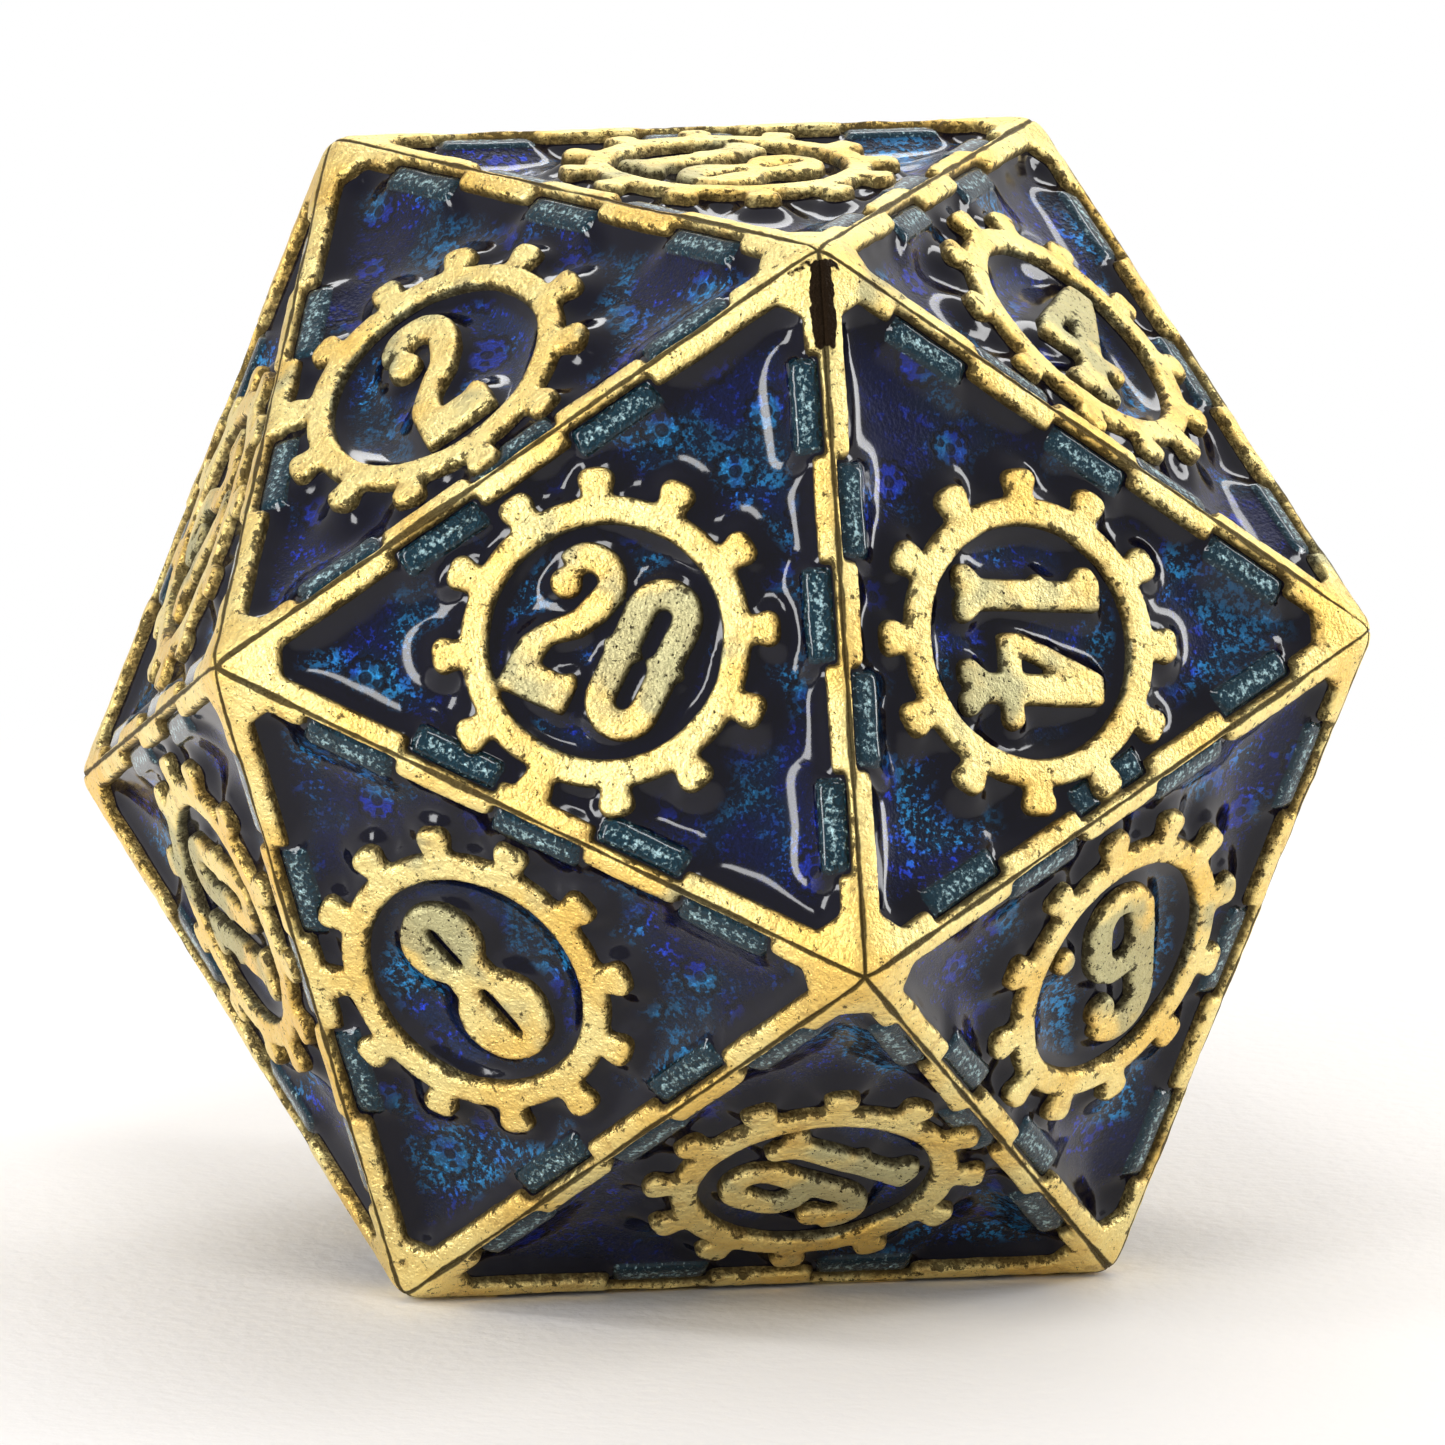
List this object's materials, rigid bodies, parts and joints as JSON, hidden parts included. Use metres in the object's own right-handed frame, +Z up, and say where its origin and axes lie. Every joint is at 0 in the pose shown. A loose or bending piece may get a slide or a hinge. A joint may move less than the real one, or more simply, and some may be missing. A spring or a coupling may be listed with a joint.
{
  "type": "polyhedral die",
  "caption": "Twenty-sided metal gaming die with a gear ring and a number on every face, gold plated, with blue enamel in the recesses.",
  "frame": {"origin": "centre of the face marked 3, which the die rests on", "axes": "+Z up, from the face marked 3 to the face marked 18; the point shared by faces 20, 14, 4, 18 and 2 is on the -Y side"},
  "size_m": [0.0236, 0.027, 0.022],
  "materials": {
    "gold_plate": "bright plating over a cast surface, pitted and rubbed",
    "field_enamel": "glossy translucent enamel",
    "hub_enamel": "glossy translucent enamel"
  },
  "bodies": {
    "root": {"die_casting": "gold_plate", "field_enamel_01": "field_enamel", "field_enamel_02": "field_enamel", "field_enamel_03": "field_enamel", "field_enamel_04": "field_enamel", "field_enamel_05": "field_enamel", "field_enamel_06": "field_enamel", "field_enamel_07": "field_enamel", "field_enamel_08": "field_enamel", "field_enamel_09": "field_enamel", "field_enamel_10": "field_enamel", "field_enamel_11": "field_enamel", "field_enamel_12": "field_enamel", "field_enamel_13": "field_enamel", "field_enamel_14": "field_enamel", "field_enamel_15": "field_enamel", "field_enamel_16": "field_enamel", "field_enamel_17": "field_enamel", "field_enamel_18": "field_enamel", "field_enamel_19": "field_enamel", "field_enamel_20": "field_enamel", "hub_enamel_01": "hub_enamel", "hub_enamel_02": "hub_enamel", "hub_enamel_03": "hub_enamel", "hub_enamel_04": "hub_enamel", "hub_enamel_05": "hub_enamel", "hub_enamel_06": "hub_enamel", "hub_enamel_07": "hub_enamel", "hub_enamel_08": "hub_enamel", "hub_enamel_09": "hub_enamel", "hub_enamel_10": "hub_enamel", "hub_enamel_11": "hub_enamel", "hub_enamel_12": "hub_enamel", "hub_enamel_13": "hub_enamel", "hub_enamel_14": "hub_enamel", "hub_enamel_15": "hub_enamel", "hub_enamel_16": "hub_enamel", "hub_enamel_17": "hub_enamel", "hub_enamel_18": "hub_enamel", "hub_enamel_19": "hub_enamel", "hub_enamel_20": "hub_enamel"}
  },
  "joints": []
}
